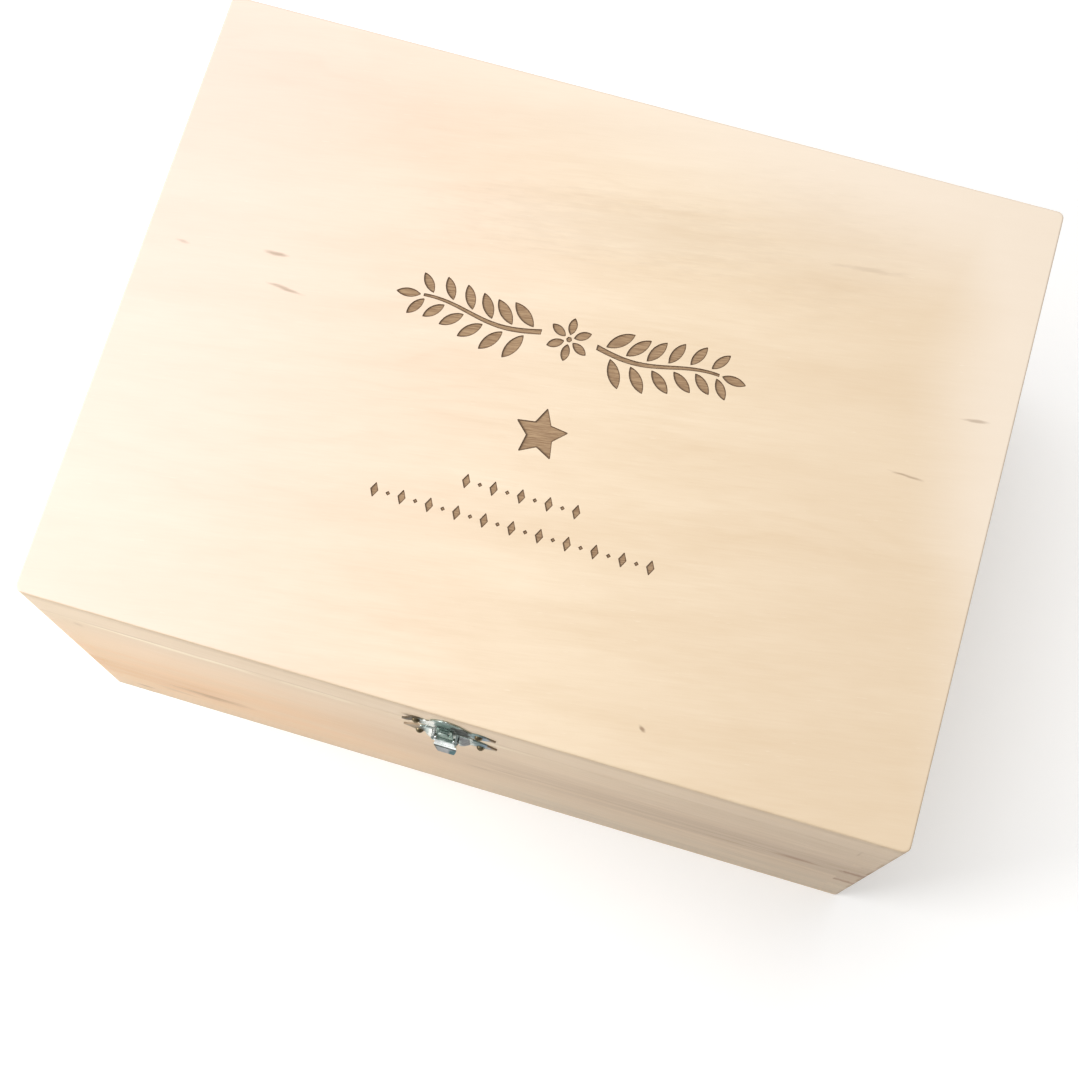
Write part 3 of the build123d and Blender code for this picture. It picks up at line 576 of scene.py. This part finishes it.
plated = metal("plated_steel_latch", lin(196, 206, 202), lin(136, 150, 146), 1.0, 0.16, 0.34, 0.3, (
    # points of the plates coloured brown and tan; dark teal painted shade and a blue painted reflection on the right
    # wing
    (-26.0, -15.5, 0.0, 5.0, 186.0, 205.0, 0.90, "brown"),
    (-26.0, -17.0, 0.0, 5.0, 160.0, 186.0, 0.85, "tan"),
    (15.0, 22.0, 0.0, 1.6, 165.0, 205.0, 0.85, "tan"),
    (8.0, 14.0, 0.0, 1.6, 165.0, 205.0, 0.60, "teal"),
    (12.4, 15.6, 0.0, 1.6, 172.0, 201.0, 0.55, "blue"),
    # lid plate: painted shade in the middle, darker painted shade to the right of the hook, a painted highlight on
    # the left and painted shade on the hook
    (-9.0, 2.5, 0.55, 1.4, 196.0, 211.0, 0.75, "green"),
    (-0.8, 7.5, 0.55, 1.5, 188.0, 207.0, 0.92, "dirt_and_shade"),
    (-13.5, -8.6, 0.0, 1.4, 190.0, 206.0, 0.70, "bright"),
    (-7.5, -1.0, 1.3, 4.6, 192.0, 200.0, 0.62, "green"),
    # base plate: painted highlight on the left shoulder, painted shadow on the left lobe, painted shade on the right
    # shoulder
    (-12.5, -9.0, 0.6, 4.0, 172.0, 186.0, 0.75, "bright"),
    (-17.0, -12.5, 0.6, 1.4, 160.0, 178.0, 0.60, "brown"),
    (2.4, 9.0, 0.9, 4.0, 166.0, 186.0, 0.72, "mauve")))
# lever: painted shade in the crease under the ridge, across the underside and ends of the lip, and on the left of
# the ridge
plated_lever = metal("plated_steel_lever", lin(240, 244, 242), lin(204, 212, 210), 2.0, 0.12, 0.26,
                     0.2, ((-12.0, 2.0, 5.30, 5.80, 160.0, 172.2, 0.95, "dirt_and_shade"),
                           (-9.0, 0.0, 6.1, 9.0, 160.0, 170.0, 0.55, "mauve"),
                           (-1.6, 2.5, 5.7, 9.0, 160.0, 171.0, 0.92, "teal"),
                           (-12.0, -7.4, 5.3, 7.2, 160.0, 173.0, 0.90, "brown"),
                           (-11.0, -6.5, 4.3, 5.25, 171.0, 178.0, 0.35, "mauve")))
plated_link = metal("plated_steel_link", lin(168, 184, 176), lin(112, 132, 124), 5.0, 0.18, 0.34)
plated_hinge = metal("plated_steel_hinge", lin(188, 190, 186), lin(160, 163, 160), 3.0, 0.22, 0.40, 0.08)
nail_metal = metal("nail_steel", lin(128, 116, 92), lin(84, 74, 56), 4.0, 0.22, 0.42, 0.4)
nail_back = metal("nail_steel_back", lin(172, 174, 170), lin(104, 108, 106), 6.0, 0.22, 0.42, 0.4)


# ---------------------------------------------------------------------------
# pieces
# ---------------------------------------------------------------------------
def put(name, me, node):
    """New piece that stands for one CAD node and rides on its body."""
    ob = bpy.data.objects.new(name, me)
    bpy.context.scene.collection.objects.link(ob)
    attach(ob, NODES[node]["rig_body"])
    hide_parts(node)
    return ob


def smooth(ob, sharp=38.0, flat=4e-5):
    me = ob.data
    me.polygons.foreach_set("use_smooth", [True] * len(me.polygons))
    me.set_sharp_from_angle(angle=math.radians(sharp))
    # broad flat faces keep their own normal to the very edge
    for p in me.polygons:
        if p.area > flat:
            for i in p.loop_indices:
                me.edges[me.loops[i].edge_index].use_edge_sharp = True
    wn = ob.modifiers.new("weighted", "WEIGHTED_NORMAL")
    wn.weight = 90
    wn.keep_sharp = True
    return ob


def refine(node, name, material, bevel=0.0, seg=2, angle=40.0,
           sharp=38.0, wide=None):
    """The CAD piece with its edges broken by a small bevel, in mm. wide is
    (test of an edge's two ends in mm, size in mm): edges broken more."""
    src = NODES[node].data
    bm = bmesh.new()
    bm.from_mesh(src)
    bmesh.ops.remove_doubles(bm, verts=bm.verts, dist=3e-6)
    bmesh.ops.dissolve_limit(bm, angle_limit=math.radians(0.5),
                             use_dissolve_boundaries=False,
                             verts=bm.verts[:], edges=bm.edges[:])
    limit = math.radians(angle)

    def hard():
        return [e for e in bm.edges if len(e.link_faces) == 2
                and e.calc_face_angle(0.0) > limit and e.is_convex]
    if wide:
        test, size = wide
        edges = [e for e in hard()
                 if test(*[v.co * 1000.0 for v in e.verts])]
        if edges:
            bmesh.ops.bevel(bm, geom=edges, offset=size * MM,
                            offset_type="OFFSET", segments=4, profile=0.5,
                            affect="EDGES", clamp_overlap=False)
    if bevel > 0:
        bmesh.ops.bevel(bm, geom=hard(), offset=bevel * MM,
                        offset_type="OFFSET", segments=seg, profile=0.5,
                        affect="EDGES", clamp_overlap=True)
    bmesh.ops.recalc_face_normals(bm, faces=bm.faces[:])
    me = bpy.data.meshes.new(name)
    bm.to_mesh(me)
    bm.free()
    me.materials.clear()
    me.materials.append(material)
    ob = put(name, me, node)
    return smooth(ob, sharp)


# --- outlines in the lid's plane, anticlockwise, in mm -----------------------
def arc3(p0, pm, p1, n):
    """Points on the arc through three points, without the last one."""
    ax, ay = p0
    bx, by = pm
    cx, cy = p1
    d = 2 * (ax * (by - cy) + bx * (cy - ay) + cx * (ay - by))
    ux = ((ax * ax + ay * ay) * (by - cy) + (bx * bx + by * by) * (cy - ay)
          + (cx * cx + cy * cy) * (ay - by)) / d
    uy = ((ax * ax + ay * ay) * (cx - bx) + (bx * bx + by * by) * (ax - cx)
          + (cx * cx + cy * cy) * (bx - ax)) / d
    r = math.hypot(ax - ux, ay - uy)
    t0 = math.atan2(ay - uy, ax - ux)
    tm = math.atan2(by - uy, bx - ux)
    t1 = math.atan2(cy - uy, cx - ux)

    def near(t, ref):
        while t - ref > math.pi:
            t -= 2 * math.pi
        while t - ref < -math.pi:
            t += 2 * math.pi
        return t
    tm = near(tm, t0)
    t1 = near(t1, tm)
    return [(ux + r * math.cos(t0 + (t1 - t0) * i / n),
             uy + r * math.sin(t0 + (t1 - t0) * i / n)) for i in range(n)]


def area(pts):
    return 0.5 * sum(a[0] * b[1] - b[0] * a[1]
                     for a, b in zip(pts, pts[1:] + pts[:1]))


def ccw(pts):
    return pts if area(pts) > 0 else pts[::-1]


def leaf_outline(x, y, angle, length, width, n=14):
    c, s = math.cos(math.radians(angle)), math.sin(math.radians(angle))

    def at(along, across):
        return (x + along * c - across * s, y + along * s + across * c)
    return ccw(arc3(at(0, 0), at(length * 0.5, width / 2), at(length, 0), n)
               + arc3(at(length, 0), at(length * 0.5, -width / 2), at(0, 0), n))


def lozenge_outline(x, y, w, h):
    return [(x - w / 2, y), (x, y - h / 2), (x + w / 2, y), (x, y + h / 2)]


def stem_y(u):
    t = (u - STEM_START) / (BAND_REACH - STEM_START)
    return BAND_Y - STEM_WAVE * math.sin(2 * math.pi * t)


def stem_slope(u):
    return math.degrees(math.atan2(stem_y(u + 0.1) - stem_y(u - 0.1), 0.2))


def soften(pts, radius=0.16, n=3):
    """Rounds each corner of an outline to a small radius."""
    out = []
    m = len(pts)
    for i in range(m):
        p, q, r = Vector(pts[i - 1]), Vector(pts[i]), Vector(pts[(i + 1) % m])
        a, b = (p - q).normalized(), (r - q).normalized()
        half = a.angle(b) / 2
        if half > math.radians(78):
            out.append(tuple(q))
            continue
        rad = min(radius, min((p - q).length, (r - q).length) * 0.9 * math.tan(half))
        mid = (a + b).normalized()
        centre = q + mid * (rad / math.sin(half))
        a0, b0 = q + a * (rad / math.tan(half)), q + b * (rad / math.tan(half))
        t0 = math.atan2(a0.y - centre.y, a0.x - centre.x)
        t1 = math.atan2(b0.y - centre.y, b0.x - centre.x)
        while t1 - t0 > math.pi:
            t1 -= 2 * math.pi
        while t1 - t0 < -math.pi:
            t1 += 2 * math.pi
        for k in range(n + 1):
            t = t0 + (t1 - t0) * k / n
            out.append((centre.x + rad * math.cos(t), centre.y + rad * math.sin(t)))
    return out


def offset(pts, d):
    """Outline moved outwards by d (mitred, mitre held to 3 times d)."""
    out = []
    m = len(pts)
    for i in range(m):
        p, q, r = Vector(pts[i - 1]), Vector(pts[i]), Vector(pts[(i + 1) % m])
        e0, e1 = (q - p).normalized(), (r - q).normalized()
        n0, n1 = Vector((e0.y, -e0.x)), Vector((e1.y, -e1.x))
        b = n0 + n1
        if b.length < 1e-9:
            b = n0.copy()
        b.normalize()
        k = 1.0 / max(b.dot(n0), 1 / 3.0)
        out.append(tuple(q + b * d * k))
    return out


def engraved_outlines():
    """(outline, width of the dark rim on its floor) of every mark."""
    marks = []
    star = []
    for i in range(10):
        a = math.radians(90 + 36 * i)
        q = STAR_R if i % 2 == 0 else STAR_R * STAR_RATIO
        star.append((STAR_X + q * math.cos(a), STAR_Y + q * math.sin(a)))
    marks.append((soften(ccw(star), 0.30), 0.75))
    for i in range(6):
        a = 30 + 60 * i
        marks.append((soften(leaf_outline(
            STAR_X + 2.3 * math.cos(math.radians(a)),
            BAND_Y + 2.3 * math.sin(math.radians(a)), a, 8.2, 3.9)), 0.55))
    marks.append(([(STAR_X + 1.3 * math.cos(math.radians(60 * i)),
                    BAND_Y + 1.3 * math.sin(math.radians(60 * i)))
                   for i in range(6)], 0.4))
    for m in (-1, 1):
        us = [STEM_START + (69.0 - STEM_START) * i / 60 for i in range(61)]
        up = [(STAR_X + m * u, stem_y(u) + 1.25 - 0.6 * i / 60) for i, u in enumerate(us)]
        lo = [(STAR_X + m * u, stem_y(u) - 1.25 + 0.6 * i / 60) for i, u in enumerate(us)]
        marks.append((soften(ccw(up + lo[::-1])), 0.42))
        for i in range(6):
            u = 17.0 + 9.6 * i
            for side in (1, -1):
                ul = u + (0 if side > 0 else 3.2)
                turn = stem_slope(ul) + side * 52
                y0 = stem_y(ul) + side * (2.15 - 0.06 * i)
                angle = turn if m > 0 else 180 - turn
                marks.append((soften(leaf_outline(
                    STAR_X + m * ul, y0, angle, 14.4 - 0.75 * i,
                    5.4 - 0.25 * i)), 0.6))
        tip = stem_slope(70.5)
        marks.append((soften(leaf_outline(
            STAR_X + m * 70.4, stem_y(70.4), tip if m > 0 else 180 - tip,
            (BAND_REACH - 70.4) * 0.97, 4.2)), 0.6))
    for row_y, n in ROWS:
        for i in range(-n, n + 1):
            marks.append((soften(lozenge_outline(
                STAR_X + i * ROW_PITCH, row_y, 3.6, 7.0)), 0.42))
        for i in range(-n, n):
            marks.append((soften(lozenge_outline(
                STAR_X + (i + 0.5) * ROW_PITCH, row_y, 2.0, 2.0)), 0.3))
    return marks


def rounded_rect(hw, hd, r, n=7):
    pts = []
    for cx, cy, a0 in ((hw - r, hd - r, 0), (-hw + r, hd - r, 90),
                       (-hw + r, -hd + r, 180), (hw - r, -hd + r, 270)):
        for i in range(n + 1):
            a = math.radians(a0 + 90 * i / n)
            pts.append((cx + r * math.cos(a), cy + r * math.sin(a)))
    return pts


def inside(pt, poly):
    x, y = pt
    c = False
    for (x0, y0), (x1, y1) in zip(poly, poly[1:] + poly[:1]):
        if (y0 > y) != (y1 > y) and x < (x1 - x0) * (y - y0) / (y1 - y0) + x0:
            c = not c
    return c


class Builder:
    """Collects vertices (mm) and faces with a material index."""

    def __init__(self):
        self.co, self.rim, self.faces, self.mats = [], [], [], []

    def ring(self, pts, z, rim=0.0):
        start = len(self.co)
        self.co += [(x, y, z) for x, y in pts]
        self.rim += [rim] * len(pts)
        return list(range(start, start + len(pts)))

    def wall(self, low, high, mat):
        """Quads between two rings of the same length; low is outside/below
        for an outline seen from outside."""
        n = len(low)
        for i in range(n):
            j = (i + 1) % n
            self.faces.append((low[i], low[j], high[j], high[i]))
            self.mats.append(mat)

    def cap(self, outer, holes, mat, up=True, extra=()):
        """Triangles between an outer ring and hole rings, all flat; extra
        holds indices of loose points inside."""
        ids = list(outer) + [i for h in holes for i in h] + list(extra)
        pts = [Vector(self.co[i][:2]) for i in ids]
        edges, k = [], 0
        for loop in [outer] + list(holes):
            n = len(loop)
            edges += [(k + i, k + (i + 1) % n) for i in range(n)]
            k += n
        vo, eo, fo, orig, _, _ = delaunay_2d_cdt(pts, edges, [], 1, 1e-6)
        back = [ids[o[0]] if o else None for o in orig]
        assert None not in back and len(vo) == len(pts)
        polys = [[self.co[i][:2] for i in h] for h in holes]
        boxes = [(min(p[0] for p in q), max(p[0] for p in q),
                  min(p[1] for p in q), max(p[1] for p in q)) for q in polys]
        for f in fo:
            cx = sum(vo[i][0] for i in f) / len(f)
            cy = sum(vo[i][1] for i in f) / len(f)
            hit = False
            for q, (x0, x1, y0, y1) in zip(polys, boxes):
                if x0 <= cx <= x1 and y0 <= cy <= y1 and inside((cx, cy), q):
                    hit = True
                    break
            if hit:
                continue
            face = [back[i] for i in f]
            a = area([self.co[i][:2] for i in face])
            if (a > 0) != up:
                face.reverse()
            self.faces.append(tuple(face))
            self.mats.append(mat)

    def floor(self, ring, z, rim_w, step, mat):
        """Flat pocket floor on a ring, with inner points whose 'rim' value
        falls from 1 at the wall to 0 at 0.25 to 1.75 times rim_w from it, widest beside walls on the side toward the
        light, as painted shadow."""
        poly = [self.co[i][:2] for i in ring]
        x0, x1 = min(p[0] for p in poly), max(p[0] for p in poly)
        y0, y1 = min(p[1] for p in poly), max(p[1] for p in poly)
        segs = list(zip(poly, poly[1:] + poly[:1]))
        extra = []
        ny = max(1, int((y1 - y0) / (step * 0.866)))
        for j in range(1, ny + 1):
            y = y0 + j * step * 0.866
            x = x0 + (0.5 if j % 2 else 0.0) * step + 0.013
            while x < x1:
                if inside((x, y), poly):
                    d, lit_side = 1e9, 0.0
                    for (ax, ay), (bx, by) in segs:
                        if min(ax, bx) - d > x or max(ax, bx) + d < x:
                            continue
                        ex, ey = bx - ax, by - ay
                        t = ((x - ax) * ex + (y - ay) * ey) / (ex * ex + ey * ey)
                        t = min(1.0, max(0.0, t))
                        q = math.hypot(x - ax - t * ex, y - ay - t * ey)
                        if q < d:
                            # how far this wall lies on the side toward the light; the dark rim is widened there as
                            # painted shadow
                            ln = math.hypot(ex, ey)
                            d, lit_side = q, (-ey * 0.80 + ex * 0.60) / ln
                    if d > step * 0.4:
                        extra.append(len(self.co))
                        self.co.append((x, y, z))
                        w = rim_w * (1.0 + 0.75 * lit_side)
                        self.rim.append(max(0.0, 1.0 - d / w))
                x += step
        self.cap(ring, [], mat, up=True, extra=extra)

    def mesh(self, name, materials):
        me = bpy.data.meshes.new(name)
        me.from_pydata([(x * MM, y * MM, z * MM) for x, y, z in self.co], [],
                       self.faces)
        for m in materials:
            me.materials.append(m)
        me.polygons.foreach_set("material_index", self.mats)
        at = me.attributes.new("rim", "FLOAT", "POINT")
        at.data.foreach_set("value", self.rim)
        me.validate()
        me.update()
        return me


def lid_panel():
    b = Builder()
    hw, hd = WIDTH / 2, DEPTH / 2

    def out(d, z):
        return b.ring(rounded_rect(hw - d, hd - d, CORNER_R - d), z)
    under = out(0.15, FRAME_TOP)
    low = out(0.0, FRAME_TOP + 0.15)
    b.cap(under, [], 2, up=False)
    b.wall(under, low, 1)
    last = low
    steps = 6
    for i in range(steps + 1):
        a = math.radians(90.0 * i / steps)
        nxt = out(EDGE_R * (1 - math.cos(a)), HEIGHT - EDGE_R + EDGE_R * math.sin(a))
        b.wall(last, nxt, 1 if i <= 3 else 0)
        last = nxt
    holes = []
    for pts, rim_w in engraved_outlines():
        r0 = b.ring(offset(pts, 0.09), HEIGHT, 0.35)
        r1 = b.ring(offset(pts, 0.03), HEIGHT - 0.03, 0.8)
        r2 = b.ring(pts, HEIGHT - 0.10, 1.0)
        r3 = b.ring(offset(pts, -0.05), HEIGHT - ENGRAVE + 0.07, 1.0)
        r4 = b.ring(offset(pts, -0.12), HEIGHT - ENGRAVE, 1.0)
        for p, q in ((r0, r1), (r1, r2), (r2, r3), (r3, r4)):
            b.wall(p, q, 3)
        b.floor(r4, HEIGHT - ENGRAVE, rim_w, 0.5, 3)
        holes.append(r0)
    b.cap(last, holes, 0, up=True)
    me = b.mesh("lid_panel_ply", [veneer_top, edge_top, veneer_inside, burnt_wood])
    ob = put("lid_panel_ply", me, "lid_panel")
    return smooth(ob, 35.0)


def bottom_panel():
    b = Builder()
    hw, hd = WIDTH / 2, DEPTH / 2

    def out(d, z):
        return b.ring(rounded_rect(hw - d, hd - d, CORNER_R - d), z)
    e = EDGE_R * 0.6
    steps = 5
    first = out(e, 0.0)
    b.cap(first, [], 0, up=False)
    last = first
    for i in range(1, steps + 1):
        a = math.radians(90.0 * i / steps)
        nxt = out(e * (1 - math.sin(a)), e - e * math.cos(a))
        b.wall(last, nxt, 1 if i > 2 else 0)
        last = nxt
    up = out(0.0, PLY - 0.12)
    b.wall(last, up, 1)
    top = out(0.12, PLY)
    b.wall(up, top, 1)
    b.cap(top, [], 2, up=True)
    me = b.mesh("bottom_panel_ply", [veneer_under, edge_bottom, veneer_inside])
    ob = put("bottom_panel_ply", me, "bottom_panel")
    return smooth(ob, 35.0)


lid_panel()
bottom_panel()

SEAM_Z = 187.0


def at_seam(p, q):
    """Outer edge of a board along the joint between lid and base."""
    def on(v):
        return (abs(v.z - SEAM_Z) < 0.3
                and (abs(v.x) > WIDTH / 2 - CORNER_R - 0.05
                     or abs(v.y) > DEPTH / 2 - 0.05)
                and (abs(v.y) > DEPTH / 2 - CORNER_R - 0.05
                     or abs(v.x) > WIDTH / 2 - 0.05))
    return on(p) and on(q) and (abs(p.x - q.x) > 20 or abs(p.y - q.y) > 20)


for part, size in (("lid", 0.20), ("base", 0.30)):
    for side, wood in (("front", wood_front), ("back", wood_back),
                       ("left", wood_left), ("right", wood_right)):
        refine("%s_%s_board" % (part, side), "%s_%s_pine" % (part, side),
               wood, bevel=0.14, seg=2, wide=(at_seam, size))

for side in ("left", "right"):
    for leaf in ("lid_leaf", "base_leaf"):
        refine("hinge_%s_%s" % (side, leaf), "hinge_%s_%s_steel" % (side, leaf),
               plated_hinge, bevel=0.12, seg=2)
    refine("hinge_%s_pin" % side, "hinge_%s_pin_steel" % side,
           plated_hinge)
for node, steel in (("hinge_lid_nails", nail_back), ("hinge_base_nails", nail_back),
                    ("catch_nails", nail_metal), ("latch_nails", nail_metal)):
    refine(node, node + "_steel", steel)
refine("lever_pins", "lever_pins_steel", nail_back, bevel=0.1)
refine("link_pin", "link_pin_steel", nail_back)
refine("catch_plate", "catch_plate_steel", plated, bevel=0.13)
refine("latch_plate", "latch_plate_steel", plated, bevel=0.13)
refine("latch_lever", "latch_lever_steel", plated_lever, bevel=0.12)
refine("latch_link", "latch_link_steel", plated_link, bevel=0.10)


# ---------------------------------------------------------------------------
# floor, light, camera
# ---------------------------------------------------------------------------
def floor():
    bm = bmesh.new()
    bmesh.ops.create_grid(bm, x_segments=24, y_segments=24, size=4.0)
    me = bpy.data.meshes.new("floor")
    bm.to_mesh(me)
    bm.free()
    ob = bpy.data.objects.new("floor", me)
    ob.location = (0, 0, -0.0004)
    bpy.context.scene.collection.objects.link(ob)
    g = Tree("floor_paint")
    pos, _ = g.object_mm()
    n = g.noise(g.v("MULTIPLY", pos, (0.004, 0.004, 0.004)), 1.0, 3.0, 0.5)
    colour = g.mix(n, (0.90, 0.90, 0.90, 1), (0.87, 0.87, 0.865, 1))
    me.materials.append(g.finish(colour, g.mapr(n, 0.3, 0.7, 0.7, 0.8),
                                 **{"Emission Color": (1, 1, 1, 1),
                                    "Emission Strength": 0.22}))


floor()


def area_light(name, place, target, sx, sy, watts, colour=(1, 1, 1)):
    li = bpy.data.lights.new(name, "AREA")
    li.shape = "RECTANGLE"
    li.size, li.size_y = sx, sy
    li.energy = watts
    li.color = colour
    ob = bpy.data.objects.new(name, li)
    ob.location = place
    ob.rotation_euler = (Vector(target) - Vector(place)).to_track_quat("-Z", "Y").to_euler()
    ob.visible_camera = False
    bpy.context.scene.collection.objects.link(ob)
    return ob


area_light("softbox_above", (-0.15, 0.30, 1.75), (0.0, 0.05, 0.2), 1.2, 1.2, 16.5)
area_light("softbox_left", (-0.82, -0.42, 0.55), (-0.12, -0.10, 0.10), 0.45, 0.45, 6.8)

world = bpy.data.worlds.new("studio")
bpy.context.scene.world = world
world.use_nodes = True
wt = world.node_tree
wt.nodes.clear()
bg = wt.nodes.new("ShaderNodeBackground")
tc = wt.nodes.new("ShaderNodeTexCoord")
dot = wt.nodes.new("ShaderNodeVectorMath")
dot.operation = "DOT_PRODUCT"
wt.links.new(tc.outputs["Generated"], dot.inputs[0])
dot.inputs[1].default_value = Vector((-0.62, -0.05, 0.78)).normalized()
span = wt.nodes.new("ShaderNodeMapRange")
span.interpolation_type = "SMOOTHSTEP"
wt.links.new(dot.outputs["Value"], span.inputs[0])
for i, v in enumerate((-0.55, 0.75, 0.10, 0.56)):
    span.inputs[i + 1].default_value = v
wt.links.new(span.outputs[0], bg.inputs["Strength"])
bg.inputs["Color"].default_value = (1.0, 1.0, 1.0, 1.0)
wo = wt.nodes.new("ShaderNodeOutputWorld")
wt.links.new(bg.outputs[0], wo.inputs[0])

cam = bpy.data.cameras.new("camera")
cam.sensor_fit = "HORIZONTAL"
cam.sensor_width = 36.0
cam.lens = 2106.40 * 36.0 / 1079.0
cam.shift_x = (1079 / 2 - 502.79) / 1079
cam.shift_y = (449.09 - 1076 / 2) / 1079
cam.clip_start = 0.05
cam.clip_end = 30.0
camera = bpy.data.objects.new("camera", cam)
bpy.context.scene.collection.objects.link(camera)
RIGHT = Vector((0.95795058, 0.28617118, -0.02089837))
DOWN = Vector((0.26905635, -0.92118777, -0.28110812))
AHEAD = Vector((-0.09969637, 0.26366485, -0.95944853))
turn = Matrix((RIGHT, -DOWN, -AHEAD)).transposed().to_4x4()
camera.matrix_world = Matrix.Translation((0.079476, -0.274608, 1.119015)) @ turn
bpy.context.scene.camera = camera

scene = bpy.context.scene
scene.view_settings.view_transform = "Standard"
scene.view_settings.look = "None"
scene.view_settings.exposure = 0.0
scene.view_settings.gamma = 1.0
